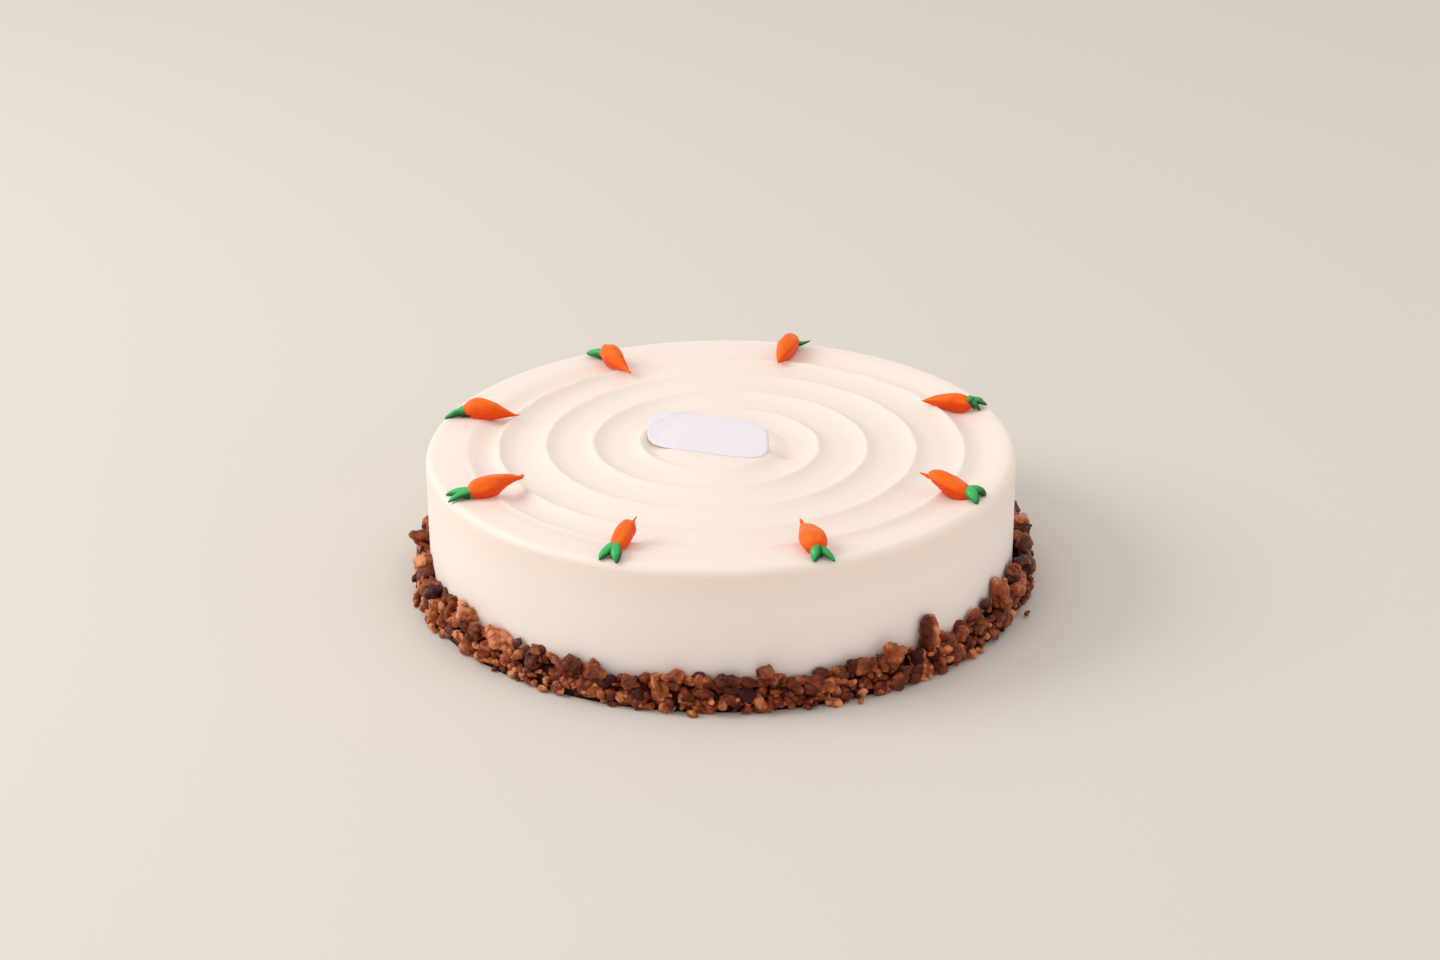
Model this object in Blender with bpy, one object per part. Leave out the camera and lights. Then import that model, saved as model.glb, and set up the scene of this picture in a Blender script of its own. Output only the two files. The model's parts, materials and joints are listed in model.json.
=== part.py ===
"""A round, uncut carrot cake: metres, +Z up, origin at the middle of its underside, front towards -Y.

The frosted cake is one solid with a spiral groove drawn over its top. A band of chopped nuts stands round
its foot, eight piped buttercream carrots lie on the rim with their tips inwards, and a thin blank plaque
rests near the middle. Neighbours keep a gap of about 0.3 mm.
"""

import math
from typing import NamedTuple

import bmesh
import bpy
from mathutils import Matrix, Vector

# Driving dimensions
CAKE_RADIUS = 0.120
CAKE_HEIGHT = 0.057
EDGE_ROUND = 0.003
GAP = 0.0003

# The spiral groove on the top: its depth, its pitch, and the radius where its first crest crosses +X
GROOVE_PITCH = 0.0195
GROOVE_DEPTH = 0.0026
GROOVE_START = 0.0021
# The spiral starts beside the cake's middle and is drawn true by the rim
DRIFT = Vector((-0.0012, 0.0018))
# The last turn runs tight against the one before it, most of all on the left
LAST_TURN_PULL = 0.0031
LAST_TURN_FROM = 0.090
LAST_TURN_TO = 0.104
PULL_ANGLE = math.radians(15)
# The groove fades in from the middle and out towards the rim
FADE_IN = (0.018, 0.029)
FADE_OUT = (0.100, 0.117)

# Facets of the cake
TOP_COLUMNS = 60
ROWS_PER_TURN = 5
MIDDLE_RADIUS = 0.003
EDGE_SEGMENTS = 3

# The band of chopped nuts
BAND_OUTER = 0.1285
BAND_FOOT = 0.0045
BAND_HEIGHT = 0.0135
BAND_COLUMNS = 90
# The heap stands higher towards both sides than in front
RIGHT_RISE = 0.0050
LEFT_RISE = 0.0030

# The one tall nut piece that leans on the side above the band
TALL_NUT_ANGLE = math.radians(-50)
TALL_NUT_SIZE = Vector((0.0048, 0.0082, 0.0165))
TALL_NUT_LOW = 0.0090
TALL_NUT_NOTCH = math.radians(3.6)

# Piped carrots: every one lies flat at this height
REST_HEIGHT = CAKE_HEIGHT + GAP
ROOT_SIDES = 8
ROOT_RINGS = 10
STROKE_SIDES = 6
STROKE_RINGS = 6
STROKE_RADIUS = 0.0018

# The plaque
PLAQUE_LENGTH = 0.0525
PLAQUE_WIDTH = 0.0385
PLAQUE_THICKNESS = 0.0008
PLAQUE_CENTRE = Vector((-0.0055, 0.0097))
PLAQUE_TURN = math.radians(-19.5)
PLAQUE_SQUARENESS = 4.0
PLAQUE_SLANT = 0.35
PLAQUE_POINTS = 40


class Carrot(NamedTuple):
    """One piped carrot. Angles are in degrees, lengths in metres."""

    tip_angle: float  # where round the cake its tip lies
    tip_radius: float  # how far from the cake's axis its tip lies
    heading: float  # the way from its greens to its tip
    length: float
    width: float
    tip_lift: float  # how far the tip flicks up off the frosting
    strokes: tuple  # its greens: each stroke's turn from straight back, and its length


CARROTS = (
    Carrot(-150.9, 0.0888, 26, 0.0230, 0.0092, 0.0046, ((-44, 0.0108), (-5, 0.0096))),
    Carrot(-110.5, 0.0915, 68, 0.0215, 0.0076, 0.0052, ((-23, 0.0082), (24, 0.0086))),
    Carrot(-71, 0.0915, 106, 0.0228, 0.0100, 0.0048, ((-28, 0.0076), (30, 0.0094))),
    Carrot(-30, 0.0900, 148, 0.0230, 0.0080, 0.0048, ((46, 0.0070), (-36, 0.0070))),
    Carrot(25.7, 0.0938, 164, 0.0215, 0.0074, 0.0012, ((46, 0.0074), (20, 0.0078), (-14, 0.0052))),
    Carrot(73.7, 0.0905, 251, 0.0225, 0.0086, 0.0006, ((-56, 0.0078), (-10, 0.0058))),
    Carrot(116.8, 0.0850, 303, 0.0225, 0.0080, 0.0006, ((20, 0.0080), (-10, 0.0058))),
    Carrot(160.5, 0.0885, 357, 0.0228, 0.0090, 0.0008, ((12, 0.0100), (-20, 0.0060))),
)


class Finish(NamedTuple):
    """A material's colour in linear RGB, with its roughness."""

    name: str
    colour: tuple
    roughness: float


FROSTING = Finish("frosting", (0.90, 0.79, 0.67), 0.55)
NUTS = Finish("chopped_nuts", (0.25, 0.075, 0.03), 0.45)
ORANGE_CREAM = Finish("orange_buttercream", (0.90, 0.17, 0.03), 0.40)
GREEN_CREAM = Finish("green_buttercream", (0.01, 0.16, 0.04), 0.40)
SUGAR_SHEET = Finish("sugar_sheet", (0.82, 0.80, 0.86), 0.50)


def clear_scene():
    for old in list(bpy.data.objects):
        bpy.data.objects.remove(old)


def material(finish):
    """The finish's Principled material, made once."""
    found = bpy.data.materials.get(finish.name)
    if found:
        return found
    made = bpy.data.materials.new(finish.name)
    made.use_nodes = True
    shader = made.node_tree.nodes["Principled BSDF"]
    shader.inputs["Base Color"].default_value = (*finish.colour, 1)
    shader.inputs["Roughness"].default_value = finish.roughness
    shader.inputs["Metallic"].default_value = 0
    return made


def add_object(name, mesh_builder, finish, sharp_angle=40):
    """Turns a bmesh into a smooth-shaded object whose faces point out, and frees the bmesh."""
    bmesh.ops.recalc_face_normals(mesh_builder, faces=mesh_builder.faces)
    mesh = bpy.data.meshes.new(name)
    mesh_builder.to_mesh(mesh)
    mesh_builder.free()
    mesh.shade_smooth()
    mesh.set_sharp_from_angle(angle=math.radians(sharp_angle))
    mesh.materials.append(material(finish))
    made = bpy.data.objects.new(name, mesh)
    bpy.context.scene.collection.objects.link(made)
    return made


def ease(low, high, value):
    """0 below low, 1 above high, and a smooth step between them."""
    share = min(1.0, max(0.0, (value - low) / (high - low)))
    return share * share * (3 - 2 * share)


def polar(radius, angle, height):
    return Vector((radius * math.cos(angle), radius * math.sin(angle), height))


def groove_turns(radius, angle):
    """How many turns of the groove lie inside this point: a crest is at each whole number."""
    straight = 1 - (radius / CAKE_RADIUS) ** 2
    drifted = radius - straight * (DRIFT.x * math.cos(angle) + DRIFT.y * math.sin(angle))
    pull = LAST_TURN_PULL * (1 - math.cos(angle - PULL_ANGLE))
    drifted += pull * ease(LAST_TURN_FROM, LAST_TURN_TO, radius)
    return (drifted - GROOVE_START) / GROOVE_PITCH + angle / math.tau


def top_height(radius, angle):
    """Height of the frosted top: hollows between sharp crests that all reach the cake's height."""
    across = groove_turns(radius, angle) % 1
    hollow = 4 * across * (1 - across)
    depth = GROOVE_DEPTH * ease(*FADE_IN, radius) * (1 - ease(*FADE_OUT, radius))
    return CAKE_HEIGHT - depth * hollow


def radius_of_turns(turns, angle):
    """The radius at which the groove has made that many turns, found by halving."""
    low, high = 0.0, CAKE_RADIUS
    for _ in range(30):
        middle = (low + high) / 2
        if groove_turns(middle, angle) < turns:
            low = middle
        else:
            high = middle
    return low


def top_column(angle, rim_radius):
    """Radii of the top's points at one angle. They follow the groove, so its crests stay whole."""
    margin = GROOVE_PITCH / ROWS_PER_TURN / 3
    first = math.ceil(groove_turns(MIDDLE_RADIUS + margin, angle) * ROWS_PER_TURN)
    last = math.floor(groove_turns(rim_radius - margin, angle) * ROWS_PER_TURN)
    rows = [radius_of_turns(row / ROWS_PER_TURN, angle) for row in range(first, last + 1)]
    return [MIDDLE_RADIUS, *rows, rim_radius]


def zip_columns(builder, left, right):
    """Fills the strip between two columns of points, stepping along whichever has the nearer next point."""
    i, j = 0, 0
    while i < len(left) - 1 or j < len(right) - 1:
        next_left = left[i + 1].co.xy.length if i < len(left) - 1 else math.inf
        next_right = right[j + 1].co.xy.length if j < len(right) - 1 else math.inf
        if next_left <= next_right:
            builder.faces.new((left[i], left[i + 1], right[j]))
            i += 1
        else:
            builder.faces.new((left[i], right[j + 1], right[j]))
            j += 1


def frosted_cake():
    """The cake: grooved top, rounded edge, straight side and flat underside, as one closed solid."""
    builder = bmesh.new()
    rim_radius = CAKE_RADIUS - EDGE_ROUND
    angles = [math.tau * column / TOP_COLUMNS for column in range(TOP_COLUMNS)]
    columns = []
    profiles = []
    for angle in angles:
        radii = top_column(angle, rim_radius)
        columns.append([builder.verts.new(polar(r, angle, top_height(r, angle))) for r in radii])
        profile = [columns[-1][-1]]
        for step in range(1, EDGE_SEGMENTS + 1):
            bend = math.pi / 2 * step / EDGE_SEGMENTS
            radius = rim_radius + EDGE_ROUND * math.sin(bend)
            height = CAKE_HEIGHT - EDGE_ROUND * (1 - math.cos(bend))
            profile.append(builder.verts.new(polar(radius, angle, height)))
        profile.append(builder.verts.new(polar(CAKE_RADIUS, angle, 0)))
        profiles.append(profile)
    middle = builder.verts.new((0, 0, CAKE_HEIGHT))
    under = builder.verts.new((0, 0, 0))
    for column in range(TOP_COLUMNS):
        following = (column + 1) % TOP_COLUMNS
        builder.faces.new((middle, columns[column][0], columns[following][0]))
        zip_columns(builder, columns[column], columns[following])
        here, there = profiles[column], profiles[following]
        for step in range(len(here) - 1):
            builder.faces.new((here[step], here[step + 1], there[step + 1], there[step]))
        builder.faces.new((here[-1], under, there[-1]))
    return add_object("frosted_cake", builder, FROSTING)


def unevenness(angle, start):
    """A number from about -1 to 1 that varies round the cake like heaped pieces do."""
    waves = ((11, 0.30), (19, 0.26), (29, 0.24), (43, 0.20))
    return sum(share * math.sin(count * angle + start * count) for count, share in waves)


def band_section(angle):
    """Points of the nut band's cross-section at one angle, from the inner foot outwards and back."""
    inner = CAKE_RADIUS + GAP
    outer = BAND_OUTER + 0.0006 * unevenness(angle, 0.7)
    aside = math.cos(angle)
    rise = (RIGHT_RISE if aside > 0 else LEFT_RISE) * aside * aside
    top = BAND_HEIGHT + rise + 0.0036 * unevenness(angle, 2.1)
    shoulder = 0.62 * top + 0.0010 * unevenness(angle, 4.4)
    from_tall_nut = abs((angle - TALL_NUT_ANGLE + math.pi) % math.tau - math.pi)
    if from_tall_nut < TALL_NUT_NOTCH:
        top = min(top, TALL_NUT_LOW - 2 * GAP)
        shoulder = min(shoulder, 0.62 * top)
    thickness = outer - inner
    return (
        polar(inner, angle, 0),
        polar(outer - 0.05 * thickness, angle, 0),
        polar(outer, angle, BAND_FOOT * 0.45),
        polar(outer - 0.14 * thickness, angle, BAND_FOOT),
        polar(outer - 0.30 * thickness, angle, shoulder),
        polar(outer - 0.55 * thickness, angle, top),
        polar(inner, angle, top - 0.0010),
    )


def nut_crumb_band():
    """The heap of chopped nuts round the foot, as one ring out to its uneven outline."""
    builder = bmesh.new()
    sections = []
    for column in range(BAND_COLUMNS):
        angle = math.tau * column / BAND_COLUMNS
        sections.append([builder.verts.new(point) for point in band_section(angle)])
    for here, there in zip(sections, sections[1:] + sections[:1]):
        for step in range(len(here)):
            after = (step + 1) % len(here)
            builder.faces.new((here[step], here[after], there[after], there[step]))
    bmesh.ops.triangulate(builder, faces=builder.faces)
    return add_object("nut_crumb_band", builder, NUTS)


def tall_nut_piece():
    """The nut piece that stands on the band against the cake's side: a ridged lump with a flat back."""
    builder = bmesh.new()
    bmesh.ops.create_icosphere(builder, subdivisions=2, radius=0.5)
    back = CAKE_RADIUS + GAP
    for vertex in builder.verts:
        outwards, sideways, upwards = vertex.co
        ridge = 1 + 0.16 * math.cos(4 * math.atan2(sideways, outwards)) * (1 - 4 * upwards * upwards)
        taper = 1 - 0.35 * upwards
        radius = back + TALL_NUT_SIZE.x * (0.5 + max(-0.42, outwards * ridge * taper))
        across = TALL_NUT_SIZE.y * sideways * ridge * taper
        height = TALL_NUT_LOW + TALL_NUT_SIZE.z * (upwards + 0.5)
        vertex.co = polar(math.hypot(radius, across), TALL_NUT_ANGLE + math.atan2(across, radius), height)
    return add_object("tall_nut_piece", builder, NUTS, sharp_angle=30)


def piped_tube(centres, radii, sides, rest_height):
    """A closed tube through the centres. Its ends close on a point, and its underside lies flat."""
    builder = bmesh.new()
    rings = []
    for index in range(1, len(centres) - 1):
        along = (centres[index + 1] - centres[index - 1]).normalized()
        sideways = along.cross(Vector((0, 0, 1))).normalized()
        upwards = sideways.cross(along)
        ring = []
        for side in range(sides):
            turn = math.tau * (side + 0.5) / sides
            offset = sideways * math.cos(turn) + upwards * math.sin(turn)
            point = centres[index] + offset * radii[index]
            point.z = max(point.z, rest_height)
            ring.append(builder.verts.new(point))
        rings.append(ring)
    for here, there in zip(rings, rings[1:]):
        for side in range(sides):
            after = (side + 1) % sides
            builder.faces.new((here[side], here[after], there[after], there[side]))
    for ring, end in ((rings[0], centres[0]), (rings[-1], centres[-1])):
        pole = builder.verts.new(end)
        for side in range(sides):
            builder.faces.new((ring[side], pole, ring[(side + 1) % sides]))
    bmesh.ops.triangulate(builder, faces=builder.faces)
    return builder


def root_swell(share):
    """Width of a root along its length, from its blunt shoulder to its drawn-out tip, at most 1."""
    fullest = 0.30
    rise, fall = 0.48, 1.12
    peak = fullest**rise * (1 - fullest) ** fall
    return share**rise * (1 - share) ** fall / peak


def carrot_tip(carrot):
    return polar(carrot.tip_radius, math.radians(carrot.tip_angle), REST_HEIGHT)


def carrot_root(carrot, number):
    """The orange root: a teardrop stroke that ends in a fine flick."""
    heading = math.radians(carrot.heading)
    forward = polar(1, heading, 0)
    tip = carrot_tip(carrot)
    centres, radii = [], []
    for ring in range(ROOT_RINGS + 1):
        share = (ring / ROOT_RINGS) ** 1.25
        radius = max(carrot.width / 2 * root_swell(share), 0.0006)
        lift = max(radius * 0.82, 0.0008) + carrot.tip_lift * share**4
        centre = tip - forward * carrot.length * (1 - share)
        centre.z = REST_HEIGHT + lift
        centres.append(centre)
        radii.append(radius)
    centres[0].z = centres[1].z
    builder = piped_tube(centres, radii, ROOT_SIDES, REST_HEIGHT)
    return add_object(f"carrot_{number}_root", builder, ORANGE_CREAM)


def leaf_stroke(carrot, turn, length, rest_height):
    """One stroke of a carrot's greens, from the root's shoulder outwards."""
    heading = math.radians(carrot.heading)
    start = carrot_tip(carrot) - polar(1, heading, 0) * (carrot.length + 2 * GAP)
    away = polar(1, heading + math.pi + math.radians(turn), 0)
    centres, radii = [], []
    for ring in range(STROKE_RINGS + 1):
        share = ring / STROKE_RINGS
        radius = STROKE_RADIUS * math.sin(math.pi * share**0.7) ** 0.8 if 0 < share < 1 else 0.0002
        centre = start + away * length * share
        centre.z = rest_height + 0.0008 + 0.0014 * (1 - share)
        centres.append(centre)
        radii.append(radius)
    return piped_tube(centres, radii, STROKE_SIDES, rest_height)


def carrot_greens(carrot, number):
    """The greens: two or three short strokes that join at the root's shoulder."""
    name = f"carrot_{number}_greens"
    first = None
    for index, (turn, length) in enumerate(carrot.strokes):
        rest_height = REST_HEIGHT + index * GAP / 5
        builder = leaf_stroke(carrot, turn, length, rest_height)
        if first is None:
            first = add_object(name, builder, GREEN_CREAM)
            continue
        stroke = add_object(f"{name}_stroke_{index}", builder, GREEN_CREAM)
        stroke.hide_render = True
        stroke.display_type = "WIRE"
        union = first.modifiers.new(f"stroke_{index}", "BOOLEAN")
        union.operation = "UNION"
        union.object = stroke
    return first


def blank_plaque():
    """The thin plaque: a rounded and slightly slanted oblong with a softened upper edge, turned a little."""
    builder = bmesh.new()
    bottom = CAKE_HEIGHT + GAP
    layers = ((1.0, 0.0), (1.0, 0.6), (0.985, 1.0))
    power = 2 / PLAQUE_SQUARENESS
    rings = []
    for scale, share in layers:
        ring = []
        for index in range(PLAQUE_POINTS):
            turn = math.tau * index / PLAQUE_POINTS
            along = math.copysign(abs(math.cos(turn)) ** power, math.cos(turn))
            across = math.copysign(abs(math.sin(turn)) ** power, math.sin(turn))
            half_length, half_width = PLAQUE_LENGTH / 2 * scale, PLAQUE_WIDTH / 2 * scale
            slant = PLAQUE_SLANT * across * half_width
            point = Vector((along * half_length - slant, across * half_width, 0))
            point = Matrix.Rotation(PLAQUE_TURN, 3, "Z") @ point
            point += Vector((*PLAQUE_CENTRE, bottom + PLAQUE_THICKNESS * share))
            ring.append(builder.verts.new(point))
        rings.append(ring)
    for here, there in zip(rings, rings[1:]):
        for index in range(PLAQUE_POINTS):
            after = (index + 1) % PLAQUE_POINTS
            builder.faces.new((here[index], here[after], there[after], there[index]))
    builder.faces.new(rings[0])
    builder.faces.new(rings[-1])
    bmesh.ops.triangulate(builder, faces=builder.faces)
    return add_object("blank_plaque", builder, SUGAR_SHEET)


def main():
    clear_scene()
    frosted_cake()
    nut_crumb_band()
    tall_nut_piece()
    for number, carrot in enumerate(CARROTS, start=1):
        carrot_root(carrot, number)
        carrot_greens(carrot, number)
    blank_plaque()


main()
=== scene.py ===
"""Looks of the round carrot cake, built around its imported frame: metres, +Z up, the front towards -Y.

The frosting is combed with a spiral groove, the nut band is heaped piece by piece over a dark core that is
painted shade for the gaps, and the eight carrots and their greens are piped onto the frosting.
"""

from __future__ import annotations

import json
import logging
import math
from dataclasses import dataclass, field, fields
from enum import Enum
from typing import Any, Sequence

import bmesh
import bpy
from mathutils import Matrix, Vector, noise
from mathutils.bvhtree import BVHTree
from mathutils.kdtree import KDTree

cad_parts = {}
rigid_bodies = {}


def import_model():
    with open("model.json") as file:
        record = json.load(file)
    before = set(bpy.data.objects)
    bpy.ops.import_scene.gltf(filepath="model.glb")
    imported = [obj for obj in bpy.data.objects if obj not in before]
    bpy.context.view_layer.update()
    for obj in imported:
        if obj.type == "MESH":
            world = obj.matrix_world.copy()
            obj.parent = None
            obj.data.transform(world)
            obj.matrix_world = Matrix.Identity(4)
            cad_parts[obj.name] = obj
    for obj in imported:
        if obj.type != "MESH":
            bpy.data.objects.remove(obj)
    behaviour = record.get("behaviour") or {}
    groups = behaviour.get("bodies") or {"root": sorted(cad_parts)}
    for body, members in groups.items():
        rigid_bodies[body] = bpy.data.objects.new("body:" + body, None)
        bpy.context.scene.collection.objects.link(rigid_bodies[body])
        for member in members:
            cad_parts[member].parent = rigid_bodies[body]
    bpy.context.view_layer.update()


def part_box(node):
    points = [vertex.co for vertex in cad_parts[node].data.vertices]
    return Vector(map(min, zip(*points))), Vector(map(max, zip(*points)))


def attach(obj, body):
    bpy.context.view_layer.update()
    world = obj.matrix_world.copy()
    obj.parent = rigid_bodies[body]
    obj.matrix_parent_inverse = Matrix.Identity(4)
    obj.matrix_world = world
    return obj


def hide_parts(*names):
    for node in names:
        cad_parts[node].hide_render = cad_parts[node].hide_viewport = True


LOG = logging.getLogger("carrot_cake")
BODY = "root"
SEED_STEP = 101

Colour = tuple[float, float, float]
Span = tuple[float, float]
Mesh = bpy.types.Mesh
Node = bpy.types.Node
Piece = bpy.types.Object


class Slot(Enum):
    """Material slots of the record, one for each stuff the cake is made of."""

    FROSTING = "frosting"
    NUTS = "chopped_nuts"
    ORANGE = "orange_buttercream"
    GREEN = "green_buttercream"
    SUGAR = "sugar_sheet"


# ---- Node trees ----


class Signal:
    """What a socket gives, which plain signs add, take away, multiply and divide with new Math nodes."""

    def __init__(self, sheet: NodeSheet, socket: bpy.types.NodeSocket) -> None:
        """Wraps a socket of the sheet's tree."""
        self.sheet, self.socket = sheet, socket

    def __add__(self, other: Any) -> Signal:
        """The sum."""
        return self.sheet.math("ADD", self, other)

    def __sub__(self, other: Any) -> Signal:
        """The difference."""
        return self.sheet.math("SUBTRACT", self, other)

    def __rsub__(self, other: Any) -> Signal:
        """The difference, taken from a plain number."""
        return self.sheet.math("SUBTRACT", other, self)

    def __mul__(self, other: Any) -> Signal:
        """The product."""
        return self.sheet.math("MULTIPLY", self, other)

    def __truediv__(self, other: Any) -> Signal:
        """The quotient."""
        return self.sheet.math("DIVIDE", self, other)

    def __neg__(self) -> Signal:
        """The opposite."""
        return self * -1.0


class NodeSheet:
    """A node tree that is being written, with short calls for the nodes that are used most."""

    def __init__(self, tree: bpy.types.NodeTree) -> None:
        """Starts an empty sheet.

        Args:
            tree: The tree to write, whose old nodes are cleared.
        """
        self.tree = tree
        tree.nodes.clear()

    def feed(self, socket: bpy.types.NodeSocket, value: Any) -> None:
        """Sets an input socket to a value, or links it to a signal."""
        if isinstance(value, Signal):
            self.tree.links.new(value.socket, socket)
        else:
            socket.default_value = value

    def fill(self, node: Node, **inputs: Any) -> None:
        """Feeds a node's inputs by name, with underscores for spaces."""
        for name, value in inputs.items():
            self.feed(node.inputs[name.replace("_", " ")], value)

    def node(self, kind: str, settings: dict[str, Any] | None = None, **inputs: Any) -> Node:
        """Adds a node.

        Args:
            kind: The node's Blender type.
            settings: Its properties, by name.
            inputs: Its inputs by name, with underscores for spaces; a value or a signal each.

        Returns:
            The new node.
        """
        made = self.tree.nodes.new(kind)
        for name, value in (settings or {}).items():
            setattr(made, name, value)
        self.fill(made, **inputs)
        return made

    def signal(self, kind: str, settings: dict[str, Any] | None = None, **inputs: Any) -> Signal:
        """Adds a node as node() does, and gives what comes out of its first socket."""
        return Signal(self, self.node(kind, settings, **inputs).outputs[0])

    def reckon(self, kind: str, settings: dict[str, Any], *values: Any) -> Signal:
        """Adds a node whose inputs are fed by their order, and gives its first output."""
        made = self.node(kind, settings)
        for socket, value in zip(made.inputs, values):
            self.feed(socket, value)
        return Signal(self, made.outputs[0])

    def math(self, operation: str, *values: Any) -> Signal:
        """A Math node's result for its operation and its values."""
        return self.reckon("ShaderNodeMath", {"operation": operation}, *values)

    def total(self, first: Signal, second: Signal) -> Signal:
        """The sum of two vectors."""
        return self.reckon("ShaderNodeVectorMath", {"operation": "ADD"}, first, second)

    def stretch(self, vector: Signal, factor: Any) -> Signal:
        """A vector times a number."""
        return self.signal("ShaderNodeVectorMath", {"operation": "SCALE"}, Vector=vector, Scale=factor)

    def combine(self, x: Any = 0.0, y: Any = 0.0, z: Any = 0.0) -> Signal:
        """A vector of three numbers."""
        return self.signal("ShaderNodeCombineXYZ", X=x, Y=y, Z=z)

    def split(self, vector: Signal) -> list[Signal]:
        """A vector's three numbers."""
        return [Signal(self, socket) for socket in self.node("ShaderNodeSeparateXYZ", Vector=vector).outputs]

    def ease(self, value: Any, low: Any, high: Any, start: Any = 0.0, end: Any = 1.0) -> Signal:
        """A smooth step of value, from start at low to end at high."""
        kind = {"interpolation_type": "SMOOTHSTEP"}
        return self.reckon("ShaderNodeMapRange", kind, value, low, high, start, end)


class GeometrySheet(NodeSheet):
    """A Geometry Nodes tree with named inputs, which can be run on an object once and for all."""

    def __init__(self, name: str, settings: dict[str, Any]) -> None:
        """Starts a tree whose group inputs are the settings.

        Args:
            name: The tree's name.
            settings: Each input's name and value: a whole number, a number or a material.
        """
        super().__init__(bpy.data.node_groups.new(name, "GeometryNodeTree"))
        self.settings = settings
        face = self.tree.interface
        face.new_socket("Geometry", in_out="INPUT", socket_type="NodeSocketGeometry")
        face.new_socket("Geometry", in_out="OUTPUT", socket_type="NodeSocketGeometry")
        self.identifiers = {}
        for key, value in settings.items():
            socket = face.new_socket(key, in_out="INPUT", socket_type=self.socket_type(value))
            self.identifiers[key] = socket.identifier
        self.entry = self.tree.nodes.new("NodeGroupInput")

    @staticmethod
    def socket_type(value: Any) -> str:
        """The Blender socket type that holds a value."""
        if isinstance(value, bpy.types.Material):
            return "NodeSocketMaterial"
        return "NodeSocketInt" if isinstance(value, int) else "NodeSocketFloat"

    def get(self, name: str) -> Signal:
        """The group input of that name."""
        return Signal(self, self.entry.outputs[name])

    def random(self, low: Any, high: Any, stream: int) -> Signal:
        """A random number between low and high for each element.

        Args:
            low: The least value.
            high: The greatest value.
            stream: Which of the tree's streams of numbers, added to its Seed input.

        Returns:
            The number.
        """
        made = self.node("FunctionNodeRandomValue", {"data_type": "FLOAT"})
        sockets = [s for s in made.inputs if s.name in ("Min", "Max", "Seed") and s.enabled]
        for socket, value in zip(sockets, (low, high, self.get("Seed") + stream * SEED_STEP)):
            self.feed(socket, value)
        return Signal(self, next(s for s in made.outputs if s.enabled))

    def store(self, geometry: Signal, name: str, value: Any, domain: str) -> Signal:
        """Keeps a number on each element as a named attribute, and returns the geometry."""
        kind = {"data_type": "FLOAT", "domain": domain}
        return self.signal("GeometryNodeStoreNamedAttribute", kind, Geometry=geometry, Name=name, Value=value)

    def attribute(self, name: str) -> Signal:
        """A stored number, read back."""
        return self.signal("GeometryNodeInputNamedAttribute", {"data_type": "FLOAT"}, Name=name)

    def end(self, geometry: Signal, smooth_faces: bool = True) -> None:
        """Dresses the geometry in the Material input, shades it smooth or faceted and gives it out."""
        smooth = self.signal("GeometryNodeSetShadeSmooth", Geometry=geometry, Shade_Smooth=smooth_faces)
        dressed = self.signal("GeometryNodeSetMaterial", Geometry=smooth, Material=self.get("Material"))
        self.feed(self.tree.nodes.new("NodeGroupOutput").inputs[0], dressed)

    def run(self, mesh: Mesh, name: str) -> Piece:
        """Runs the tree on a mesh and keeps the result as a plain mesh object.

        Args:
            mesh: The mesh that the tree starts from.
            name: The finished piece's name.

        Returns:
            The finished piece, with no modifier left.
        """
        piece = place_object(name, mesh)
        modifier = piece.modifiers.new(self.tree.name, "NODES")
        modifier.node_group = self.tree
        for key, value in self.settings.items():
            modifier[self.identifiers[key]] = value
        graph = bpy.context.evaluated_depsgraph_get()
        made = bpy.data.meshes.new_from_object(piece.evaluated_get(graph), depsgraph=graph)
        piece.modifiers.clear()
        piece.data = made
        made.name = name
        return piece


def inputs_of(owner: Any) -> dict[str, Any]:
    """The plain numbers among a dataclass's fields, as named inputs for a tree."""
    values = {item.name.replace("_", " ").title(): getattr(owner, item.name) for item in fields(owner)}
    return {name: value for name, value in values.items() if type(value) in (int, float)}


# ---- Finishes ----


class Finish:
    """A procedural finish: a subclass gives its name and wires its shader."""

    name = "finish"

    def wire(self, sheet: NodeSheet, shader: Node) -> None:
        """Feeds the shader's inputs."""
        raise NotImplementedError

    def material(self) -> bpy.types.Material:
        """The finish's material, made the first time it is asked for."""
        found = bpy.data.materials.get(self.name)
        if found:
            return found
        made = bpy.data.materials.new(self.name)
        made.use_nodes = True
        sheet = NodeSheet(made.node_tree)
        shader = sheet.node("ShaderNodeBsdfPrincipled")
        self.wire(sheet, shader)
        sheet.node("ShaderNodeOutputMaterial", Surface=Signal(sheet, shader.outputs[0]))
        return made


def object_place(sheet: NodeSheet) -> Signal:
    """The place on the object that a shader is at."""
    return Signal(sheet, sheet.node("ShaderNodeTexCoord").outputs["Object"])


def soft_noise(sheet: NodeSheet, scale: float, detail: float = 2.0) -> Signal:
    """A noise pattern from 0 to 1 that is fixed to the object, with that many cells a metre."""
    return sheet.signal("ShaderNodeTexNoise", Vector=object_place(sheet), Scale=scale, Detail=detail)


def read_attribute(sheet: NodeSheet, name: str) -> Signal:
    """A number kept on the mesh, for a shader."""
    return Signal(sheet, sheet.node("ShaderNodeAttribute", {"attribute_name": name}).outputs["Fac"])


def blend_colours(sheet: NodeSheet, factor: Signal, first: Any, second: Any) -> Signal:
    """A colour between first and second.

    Args:
        sheet: The tree.
        factor: How much of the second there is.
        first: A colour or a colour signal.
        second: A colour or a colour signal.

    Returns:
        The mixed colour.
    """
    mix = sheet.node("ShaderNodeMix", {"data_type": "RGBA"})
    ends = [end if isinstance(end, Signal) else (*end, 1.0) for end in (first, second)]
    for place, value in ((0, factor), (6, ends[0]), (7, ends[1])):
        sheet.feed(mix.inputs[place], value)
    return Signal(sheet, mix.outputs[2])


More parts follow.
